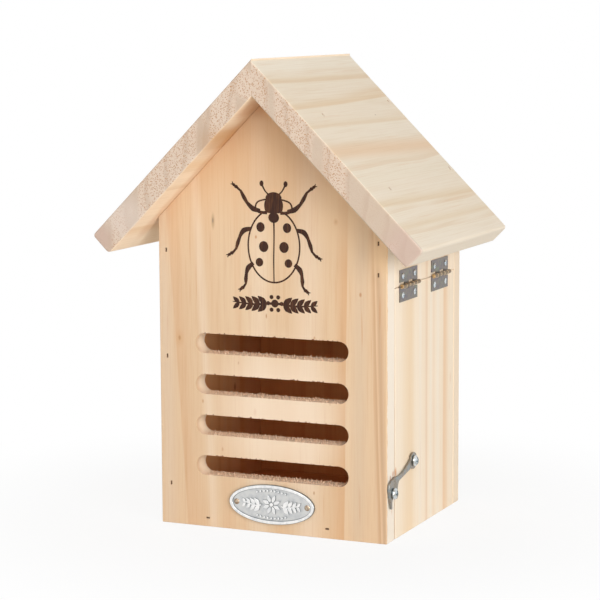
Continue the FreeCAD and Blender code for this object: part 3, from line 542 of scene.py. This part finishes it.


# Metals: each is a base colour under two thin films that lie in patches, with fine scratches. Millimetres.
# on: the nodes it covers. tone: a painted reflection of the wood and shade, beyond a place on an axis: axis,
# start, end,
# colour. rims: bright bands at the knuckles' cut ends, brass of the pin with a painted highlight: pitch along
# Y, place of the first, half width, colour.
metalLooks = {
    # mild steel, stamped and bronzed: a dull violet-grey film; the rolled knuckles painted bronze-brown, a
    # painted reflection of the wood and shade round them
    "bronzed_hinge_steel": {"base": "#857D74", "tint": "#766E76", "second": "#838875", "roughness": 0.36,
                            "patch": 2.2, "scratch": 0.5, "on": hingeParts("leaf", ["front"]),
                            "tone": ("X", 63.6, 63.8, "#8C7659"), "rims": (4.88, 2.44, 0.6, "#DCBE90")},
    # steel wire, brass plated and bright at its cut ends
    "brass_plated_pin": {"base": "#B8976A", "tint": "#8E7250", "second": "#CDB184", "roughness": 0.28,
                         "patch": 1.5, "scratch": 0.3, "on": ["front_hinge_pin", "rear_hinge_pin"]},
    # steel screws, bright zinc plate with a bluish film
    "bright_zinc_screw": {"base": "#D9DDDE", "tint": "#BCC9D0", "second": "#ADA99D", "roughness": 0.2,
                          "patch": 1.6, "scratch": 0.4,
                          "on": hingeParts("screws") + ["hook_pivot_screw", "catch_screw", "hanger_screws"]},
    # stamped steel, zinc plate gone dull and straw-coloured by handling
    "dull_zinc_steel": {"base": "#9A9084", "tint": "#8E999C", "second": "#8B8172", "roughness": 0.3,
                        "patch": 3, "scratch": 0.4, "on": ["latch_hook", "hanger_plate"]},
    # steel wire brads, bare and a little browned
    "browned_brad_steel": {"base": "#7A6250", "tint": "#5A4334", "second": "#8C7762", "roughness": 0.5,
                           "patch": 0.8, "scratch": 0.3, "on": ["front_panel_brads", "back_panel_brads"]},
    # the same brads in the roof, rubbed pale with the board
    "rubbed_brad_steel": {"base": "#B09476", "tint": "#8F7458", "second": "#C4AE94", "roughness": 0.5,
                          "patch": 0.8, "scratch": 0.3, "on": ["roof_left_brads", "roof_right_brads"]},
    # steel pins with a bronze wash
    "bronzed_pin_steel": {"base": "#B29E86", "tint": "#947A64", "second": "#D2C8B8", "roughness": 0.26,
                          "patch": 1, "scratch": 0.3, "on": ["nameplate_pins"]},
}
metalLooks["bronzed_hinge_steel_rear"] = metalLooks["bronzed_hinge_steel"] | {
    "on": hingeParts("leaf", ["rear"]), "rims": (4.88, 3.82, 0.6, "#DCBE90")}

# what all of them share: where each film starts and is full in its noise, and what the scratches do
metalCoat = {"film": (0.42, 0.65), "secondFilm": (0.52, 0.7), "secondScale": 0.7, "toneStrength": 0.85,
             "glossier": 0.08, "rougher": 0.12, "bump": 0.25, "bumpDepth": 0.06}


def makeMetal(name, look):
    coat = metalCoat
    material, add, shader, spot = newMaterial(name)
    onPart = add("Mapping", {"Vector": spot.outputs["Object"], "Scale": toMillimetres})
    place = add("SeparateXYZ", {"Vector": onPart})
    film = add("TexNoise", {"Vector": onPart, "Scale": 1 / look["patch"], "Detail": 3})
    secondFilm = add("TexNoise", {"Vector": onPart, "Scale": coat["secondScale"] / look["patch"],
                                  "Detail": 2, "Distortion": 0.6})
    layers = []
    for noise, limits, tint in ((film, coat["film"], look["tint"]),
                                (secondFilm, coat["secondFilm"], look["second"])):
        layers.append((add("MapRange", {"Value": noise, **span(*limits)}), tint))
    # painted reflection: the rolled knuckles take a bronze-brown tone for the wood and shade they mirror, with
    # bright golden bands at their cut ends, partly the brass pin at the gaps and partly a painted highlight
    if "tone" in look:
        axis, start, full, tint = look["tone"]
        pitch, first, halfWidth, rimTint = look["rims"]
        toneShare = add("MapRange", {"Value": place.outputs[axis],
                                     **span(start, full, 0, coat["toneStrength"])})
        shifted = add("Math", {0: place.outputs["Y"], 1: first}, operation="SUBTRACT")
        toGap = add("Math", {0: shifted, 1: pitch / 2}, operation="PINGPONG")
        rimShare = add("MapRange", {"Value": toGap, **span(halfWidth, halfWidth / 2)})
        rimShare = add("Math", {0: rimShare, 1: toneShare}, **times)
        layers += [(toneShare, tint), (rimShare, rimTint)]
    colour = look["base"]
    for share, tint in layers:
        colour = add("Mix", {"Factor": share, "A": colour, "B": tint}, **inColour)
    grit = add("TexNoise", {"Vector": onPart, "Scale": 1 / look["scratch"], "Detail": 4})
    gloss = (look["roughness"] - coat["glossier"], look["roughness"] + coat["rougher"])
    roughness = add("MapRange", {"Value": grit, **span(*noiseSpan, *gloss)})
    bump = add("Bump", {"Strength": coat["bump"], "Distance": coat["bumpDepth"] * millimetre, "Height": grit})
    setInputs(shader, {"Base Color": colour, "Metallic": 1, "Roughness": roughness, "Normal": bump})
    return material


for name, look in metalLooks.items():
    dress(look["on"], makeMetal(name, look))

# Pressed zinc alloy plate: a bright rim, a field frosted by the die, and faces turned aside from the front
# painted darker grey, a painted shade.
# Pairs go from field to rim; cloudBand is noise, slopeTurn how far a face looks aside from the front.
plateLook = {
    "field": "#D8D8D6", "cloud": "#C2C4C6", "rim": "#FAF9F7", "rimCloud": "#DDDFE0", "slope": "#6E7478",
    "rimFrom": (-54.22, -54.3), "roughness": (0.42, 0.16), "stippleStrength": (0.7, 0.05),
    "cloudScale": 0.35, "cloudBand": (0.4, 0.7), "cloudStrength": 0.9,
    "slopeTurn": (-0.95, -0.65), "slopeStrength": 0.9, "stipple": 0.45, "stippleDepth": 0.1,
}


def makePlate():
    look = plateLook
    material, add, shader, spot = newMaterial("pressed_zinc_plate")
    onPart = add("Mapping", {"Vector": spot.outputs["Object"], "Scale": toMillimetres})
    place = add("SeparateXYZ", {"Vector": onPart})
    rim = add("MapRange", {"Value": place.outputs["Y"], **span(*look["rimFrom"])})
    mist = add("TexNoise", {"Vector": onPart, "Scale": look["cloudScale"], "Detail": 3})
    cloud = add("MapRange", {"Value": mist, **span(*look["cloudBand"], 0, look["cloudStrength"])})
    field = add("Mix", {"Factor": cloud, "A": look["field"], "B": look["cloud"]}, **inColour)
    edge = add("Mix", {"Factor": cloud, "A": look["rim"], "B": look["rimCloud"]}, **inColour)
    colour = add("Mix", {"Factor": rim, "A": field, "B": edge}, **inColour)
    # painted shade: faces turned aside from the front, on the rim and the raised pattern, darker grey
    facing = add("SeparateXYZ", {"Vector": spot.outputs["Normal"]})
    slope = add("MapRange", {"Value": facing.outputs["Y"],
                             **span(*look["slopeTurn"], 0, look["slopeStrength"])})
    colour = add("Mix", {"Factor": slope, "A": colour, "B": look["slope"]}, **inColour)
    roughness = add("MapRange", {"Value": rim, **span(0, 1, *look["roughness"])})
    stipple = add("TexVoronoi", {"Vector": onPart, "Scale": 1 / look["stipple"]})
    depth = add("MapRange", {"Value": rim, **span(0, 1, *look["stippleStrength"])})
    bump = add("Bump", {"Strength": depth, "Distance": look["stippleDepth"] * millimetre,
                        "Height": stipple.outputs["Distance"]})
    setInputs(shader, {"Base Color": colour, "Metallic": 1, "Roughness": roughness, "Normal": bump})
    return material


plateMetal = makePlate()
dress(["nameplate"], plateMetal)
print("metals dressed")

# Flat shapes on the front: outlines in millimetres, x to the right and z up.


def rounded(points, steps=4, closed=True):
    # a smooth line through all the points
    through = [points[-1], *points, *points[:2]] if closed else [points[0], *points, points[-1]]
    line = []
    for i in range(len(through) - 3):
        p = [Vector(point) for point in through[i:i + 4]]
        for step in range(steps):
            t = step / steps
            line.append((2 * p[1] + (p[2] - p[0]) * t + (2 * p[0] - 5 * p[1] + 4 * p[2] - p[3]) * t * t
                         + (3 * p[1] - p[0] - 3 * p[2] + p[3]) * t ** 3) / 2)
    return line if closed else line + [Vector(points[-1])]


def stroke(path, widths, steps=4):
    # the outline of a pen line through the path, with a width at each of its points
    line = rounded(path, steps, closed=False)
    left, right = [], []
    for i, point in enumerate(line):
        run = (line[min(i + 1, len(line) - 1)] - line[max(i - 1, 0)]).normalized()
        at = i / steps
        low = min(int(at), len(widths) - 2)
        half = (widths[low] + (widths[low + 1] - widths[low]) * (at - low)) / 2
        left.append((point.x - run.y * half, point.y + run.x * half))
        right.append((point.x + run.y * half, point.y - run.x * half))
    return left + right[::-1]


def disc(x, z, radiusX, radiusZ, count=16):
    angles = [2 * pi * i / count for i in range(count)]
    return [(x + radiusX * cos(a), z + radiusZ * sin(a)) for a in angles]


def mirrored(outline):
    return [(-x, z) for x, z in reversed(outline)]


def bothHalves(half):
    # the right half of a shape, whose ends lie on the middle line, and its mirror image
    return rounded([*half, *mirrored(half)[1:-1]])


def leafOutline(root, length, width, angle):
    run = Vector((cos(radians(angle)), sin(radians(angle))))
    side = Vector((-run.y, run.x))
    steps = ((0, 0.08), (0.2, 0.38), (0.45, 0.5), (0.75, 0.32), (1, 0.04))
    edges = [[Vector(root) + run * length * along + side * width * share * way for along, share in steps]
             for way in (1, -1)]
    return edges[0] + edges[1][::-1]


def leafPair(side, root, length, width, tilt):
    # two leaves that spread up and down from one place, outwards to the right or left
    return [leafOutline(root, length, width, up * tilt if side > 0 else 180 - up * tilt) for up in (1, -1)]


def raiseShape(outline, centre, fromY, toY, edge=0):
    bpy.ops.object.select_all(action="DESELECT")
    bpy.ops.mesh.primitive_circle_add(vertices=len(outline), radius=millimetre, fill_type="NGON")
    shape = bpy.context.object
    for vertex, (x, z) in zip(shape.data.vertices, outline):
        vertex.co = Vector((centre[0] + x, fromY, centre[1] + z)) * millimetre
    bpy.ops.object.mode_set(mode="EDIT")
    bpy.ops.mesh.select_all(action="SELECT")
    bpy.ops.mesh.extrude_region_move(TRANSFORM_OT_translate={"value": (0, (toY - fromY) * millimetre, 0)})
    if edge:
        bpy.ops.mesh.bevel(offset=edge * millimetre, segments=2, affect="EDGES", clamp_overlap=True)
    bpy.ops.mesh.select_all(action="SELECT")
    bpy.ops.mesh.normals_make_consistent(inside=False)
    bpy.ops.object.mode_set(mode="OBJECT")
    return shape


hairStep = 0.0008  # each shape stands this much prouder than the last, so that no two faces lie in one plane


def raiseAll(name, outlines, centre, fromY, toY, material, edge=0):
    shapes = [raiseShape(outline, centre, fromY, toY - hairStep * i, edge)
              for i, outline in enumerate(outlines)]
    for shape in shapes:
        shape.select_set(True)
    bpy.ops.object.join()
    piece = bpy.context.object
    piece.name = name
    piece.data.materials.clear()
    piece.data.materials.append(material)
    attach(piece, "house")


# Burnt print: scorched wood, dark brown and dead matt, with the grain showing through a little lighter.
scorchLook = {"dark": "#432E27", "light": "#70482F", "grainWidth": 0.55, "grainLength": 7,
              "grain": (0.48, 0.8), "roughness": 0.8, "specular": 0.15, "bump": 0.3, "bumpDepth": 0.1}
printRoot, printFace = -52.96, -53.04  # Y of the print's back, inside the board, and of its face, just proud


def makeScorch():
    look = scorchLook
    material, add, shader, spot = newMaterial("scorched_spruce")
    width, length = 1000 / look["grainWidth"], 1000 / look["grainLength"]
    grain = add("Mapping", {"Vector": spot.outputs["Object"], "Scale": (width, width, length)})
    fibres = add("TexNoise", {"Vector": grain, "Scale": 1, "Detail": 3})
    share = add("MapRange", {"Value": fibres, **span(*look["grain"])})
    colour = add("Mix", {"Factor": share, "A": look["dark"], "B": look["light"]}, **inColour)
    bump = add("Bump", {"Strength": look["bump"], "Distance": look["bumpDepth"] * millimetre,
                        "Height": fibres})
    setInputs(shader, {"Base Color": colour, "Roughness": look["roughness"],
                       "Specular IOR Level": look["specular"], "Normal": bump})
    return material


scorch = makeScorch()

# A plain ladybird seen from above, drawn on simple proportions. Millimetres from its centre.
ladybird = {
    "centre": (2, 152.5), "shell": (14.2, 18.4), "shellCentre": -5, "line": 0.85,
    "shellTurns": (78, -259, -12),  # degrees, round the shell from one side of the head to the other
    "seam": ((0, 11), (0.15, 0), (-0.1, -12), (0, -23)), "seamWidths": (1, 0.75, 0.7, 0.6),
    "spots": ((0, 9.4, 3, 2.7), (7.3, 4.4, 2.3, 2.5), (5.6, -5.4, 2.6, 2.8), (8, -13.4, 2.1, 2.2)),
    # right halves of the collar and the face, and the line round the pale cheek beside them
    "collar": ((0, 11.6), (4, 12), (5.2, 15.2), (4.2, 18.4), (0, 19.2)),
    "face": ((0, 18.8), (3.6, 18.6), (4.4, 19.6), (3, 21.4), (0, 22.2)),
    "cheek": ((3.6, 11.6), (8.2, 12.2), (10, 14.4), (8.6, 17.2), (3.8, 18.6)),
    "cheekWidths": (1.4, 1.6, 0.9, 0.8, 0.8),
    "antenna": ((2.8, 21), (4.6, 22.6), (6.2, 25.4)), "antennaWidths": (0.7, 0.7, 0.9),
    "knob": (6.6, 26.4, 1.1, 1.5),
    "legs": (
        # thigh, shin and foot of the front, middle and rear leg on the right
        (((7.5, 12.6), (11.4, 13.6), (14.8, 16.6)), ((14.4, 16), (16.4, 19.2), (18.4, 22.8)),
         ((18, 22.2), (20.2, 24), (22.4, 25.6))),
        (((12.6, 3.4), (16.6, 2.4), (19, -1)), ((18.6, -0.4), (20, -4), (21, -7.4)),
         ((20.8, -6.8), (22.8, -9), (25.2, -10.4))),
        (((11.4, -14), (14.2, -16.4), (15.4, -19.4)), ((15.2, -18.8), (15.6, -22.2), (15.6, -24.6)),
         ((15.4, -24.2), (17, -26.4), (18.6, -27.6))),
    ),
    "legWidths": ((1.8, 2.7, 1.5), (1.5, 2.1, 1.1), (1, 1.3, 0.6)),
    "claw": 1.4, "clawRoot": 0.3, "clawWidths": (0.8, 0.6, 0.3), "clawTurns": (0.6, -0.6),  # turns in radians
    "joints": ((0.25, 1.05, 0.9), (0.8, 0.85, 0.8)),  # place along the last stretch of the foot, half sizes
}


def printLadybird():
    bug = ladybird
    shellX, shellZ = bug["shell"]
    turns = [radians(angle) for angle in range(*bug["shellTurns"])]
    ring = [(shellX * cos(a), bug["shellCentre"] + shellZ * sin(a)) for a in turns]
    outlines = [stroke(ring, [bug["line"]] * len(ring), 2), stroke(bug["seam"], bug["seamWidths"])]
    for x, z, radiusX, radiusZ in bug["spots"]:
        for side in ((1, -1) if x else (1,)):
            outlines.append(disc(side * x, z, radiusX, radiusZ))
    cheek = stroke(bug["cheek"], bug["cheekWidths"])
    outlines += [bothHalves(bug["collar"]), cheek, mirrored(cheek), bothHalves(bug["face"])]
    limbs = [stroke(bug["antenna"], bug["antennaWidths"]), disc(*bug["knob"], 12)]
    for leg in bug["legs"]:
        limbs += [stroke(stretch, widths) for stretch, widths in zip(leg, bug["legWidths"])]
        heel, tip = Vector(leg[2][1]), Vector(leg[2][2])
        run = (tip - heel).normalized()
        for turn in bug["clawTurns"]:
            claw = tip + Matrix.Rotation(turn, 2) @ run * bug["claw"]
            limbs.append(stroke([tip - run * bug["clawRoot"], (tip + claw) / 2, claw], bug["clawWidths"], 2))
        for share, radiusX, radiusZ in bug["joints"]:
            limbs.append(disc(*(heel * (1 - share) + tip * share), radiusX, radiusZ, 10))
    for outline in limbs:
        outlines += [outline, mirrored(outline)]
    raiseAll("ladybird_print", outlines, bug["centre"], printRoot, printFace, scorch)


# A leafy sprig under it, a plain ornament. bare: share of each half stem before its first leaves.
sprig = {
    "centre": (2.4, 118.2), "halfLength": 23.5, "high": 0.3, "low": -0.6,
    "stemWidths": (0.4, 1.1, 1.3, 1.1, 0.4), "leaves": 5, "bare": 0.2, "leafLevel": -0.3, "leafLength": 6.2,
    "leafWidth": 3.2, "shrink": 0.3, "tilt": 40, "middle": 2, "petals": 6, "petalReach": 3.7, "petal": 1.1,
}


def printSprig():
    half, high, low = sprig["halfLength"], sprig["high"], sprig["low"]
    stem = [(-half, high), (-half / 2, low), (0, high), (half / 2, low), (half, high)]
    outlines = [stroke(stem, sprig["stemWidths"])]
    for i in range(sprig["leaves"]):
        reach = half * (sprig["bare"] + (1 - sprig["bare"]) * i / sprig["leaves"])
        size = 1 - sprig["shrink"] * i / sprig["leaves"]
        for side in (1, -1):
            outlines += leafPair(side, (side * reach, sprig["leafLevel"]), sprig["leafLength"] * size,
                                 sprig["leafWidth"] * size, sprig["tilt"])
    outlines.append(disc(0, high, sprig["middle"], sprig["middle"], 14))
    for i in range(sprig["petals"]):
        angle = radians(360 * i / sprig["petals"])
        x, z = sprig["petalReach"] * cos(angle), sprig["petalReach"] * sin(angle)
        outlines.append(disc(x, z + high, sprig["petal"], sprig["petal"], 10))
    raiseAll("sprig_print", outlines, sprig["centre"], printRoot, printFace, scorch)


# Raised pattern on the plate: a rosette between two leafy stems, with rows of beads.
emboss = {
    "centre": (0.3, 15), "fieldY": -53.75, "topY": -54.36, "edge": 0.3, "middle": 1.1,
    "petals": 8, "petalTurn": 22.5, "petalRoot": 1.3, "petalLength": 4, "petalWidth": 2.1,
    "stem": ((5.4, -0.4), (9, -1), (13, 0), (16.2, 1.2)), "stemWidths": (0.9, 1, 0.9, 0.5),
    "leaves": 4, "leafPlace": (6.6, -0.8), "leafStep": (2.6, 0.25), "leafLength": 4.8, "leafWidth": 2.5,
    "shrink": 0.13, "tilt": 50,
    "beads": 9, "beadRadius": 0.62, "beadStep": 2, "beadLevel": 7.1, "beadDrop": 0.016,
}


def embossPlate():
    outlines = [disc(0, 0, emboss["middle"], emboss["middle"], 12)]
    for i in range(emboss["petals"]):
        angle = radians(360 * i / emboss["petals"] + emboss["petalTurn"])
        root = (emboss["petalRoot"] * cos(angle), emboss["petalRoot"] * sin(angle))
        outlines.append(leafOutline(root, emboss["petalLength"], emboss["petalWidth"], degrees(angle)))
    reach, level = emboss["leafPlace"]
    stepOut, stepUp = emboss["leafStep"]
    for side in (1, -1):
        outlines.append(stroke([(side * x, z) for x, z in emboss["stem"]], emboss["stemWidths"], 3))
        for i in range(emboss["leaves"]):
            size = 1 - emboss["shrink"] * i
            outlines += leafPair(side, (side * (reach + stepOut * i), level + stepUp * i),
                                 emboss["leafLength"] * size, emboss["leafWidth"] * size, emboss["tilt"])
    for up in (1, -1):
        for i in range(emboss["beads"]):
            spread = (i - (emboss["beads"] - 1) / 2) * emboss["beadStep"]
            outlines.append(disc(spread, up * (emboss["beadLevel"] - emboss["beadDrop"] * spread ** 2),
                                 emboss["beadRadius"], emboss["beadRadius"], 8))
    raiseAll("plate_emboss", outlines, emboss["centre"], emboss["fieldY"], emboss["topY"], plateMetal,
             emboss["edge"])


printLadybird()
printSprig()
embossPlate()
print("print and emboss placed")

# Torn fibres on the lips of the four slots, millimetres. Each tuft is drawn wider than a real fibre.
# bends: step aside, step up and taper of each bend of a tuft of unit size. tip: its last step.
fringe = {"lipY": -52.9, "depth": 10.2, "sunk": 0.1, "tufts": 420, "length": (0.4, 1.2), "width": (0.16, 0.4),
          "lean": 0.5, "sides": 5, "bends": ((0.12, 0.4, 0.75), (0.2, 0.35, 0.6)), "tip": (0.3, 0.25),
          "seed": 7}
fibreLook = {"pale": "#EED4B8", "pink": "#DBB292", "patch": 0.9, "mottle": (0.35, 0.65), "roughness": 0.8}


def makeFibres():
    # raw torn fibre: paler and pinker than the planed face, quite matt
    look = fibreLook
    material, add, shader, spot = newMaterial("torn_spruce_fibre")
    onPart = add("Mapping", {"Vector": spot.outputs["Object"], "Scale": toMillimetres})
    mottle = add("TexNoise", {"Vector": onPart, "Scale": 1 / look["patch"], "Detail": 2})
    share = add("MapRange", {"Value": mottle, **span(*look["mottle"])})
    colour = add("Mix", {"Factor": share, "A": look["pale"], "B": look["pink"]}, **inColour)
    setInputs(shader, {"Base Color": colour, "Roughness": look["roughness"]})
    return material


def makeTuft():
    # one torn fibre of unit size, bent twice and drawn to a point
    bpy.ops.object.select_all(action="DESELECT")
    bpy.ops.mesh.primitive_circle_add(vertices=fringe["sides"], radius=1, fill_type="NGON", location=(0, 0, 0))
    tuft = bpy.context.object
    bpy.ops.object.mode_set(mode="EDIT")
    bpy.ops.mesh.select_all(action="SELECT")
    along, up = 0, 0
    for aside, rise, taper in fringe["bends"]:
        along, up = along + aside, up + rise
        bpy.ops.mesh.extrude_region_move(TRANSFORM_OT_translate={"value": (aside, 0, rise)})
        bpy.ops.transform.resize(value=(taper, taper, 1), center_override=(along, 0, up))
    aside, rise = fringe["tip"]
    bpy.ops.mesh.extrude_region_move(TRANSFORM_OT_translate={"value": (aside, 0, rise)})
    bpy.ops.mesh.merge(type="COLLAPSE")
    bpy.ops.mesh.select_all(action="SELECT")
    bpy.ops.mesh.normals_make_consistent(inside=False)
    bpy.ops.object.mode_set(mode="OBJECT")
    return tuft


def fringeSlots():
    chance = random.Random(fringe["seed"])
    fibre = makeFibres()
    tuft = makeTuft()
    lean = (-fringe["lean"], fringe["lean"])
    reach = slots["halfLength"] - slots["halfHeight"]
    for number, level in enumerate(slots["levels"], 1):
        sill = level - slots["halfHeight"] - fringe["sunk"]
        bpy.ops.object.select_all(action="DESELECT")
        for i in range(fringe["tufts"]):
            copy = tuft.copy()
            copy.data = tuft.data.copy()
            bpy.context.collection.objects.link(copy)
            width = chance.uniform(*fringe["width"])
            copy.scale = Vector((width, width, chance.uniform(*fringe["length"]))) * millimetre
            along, inward = chance.uniform(-reach, reach), chance.uniform(0, fringe["depth"])
            copy.location = Vector((along, fringe["lipY"] + inward, sill)) * millimetre
            copy.rotation_euler = (chance.uniform(*lean), chance.uniform(*lean), chance.uniform(0, 2 * pi))
            copy.select_set(True)
            bpy.context.view_layer.objects.active = copy
        bpy.ops.object.join()
        bpy.ops.object.transform_apply(location=True, rotation=True, scale=True)
        piece = bpy.context.object
        piece.name = f"slot_{number}_fibres"
        piece.data.materials.append(fibre)
        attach(piece, "house")
    bpy.data.objects.remove(tuft)


fringeSlots()
print("slot lips frayed")
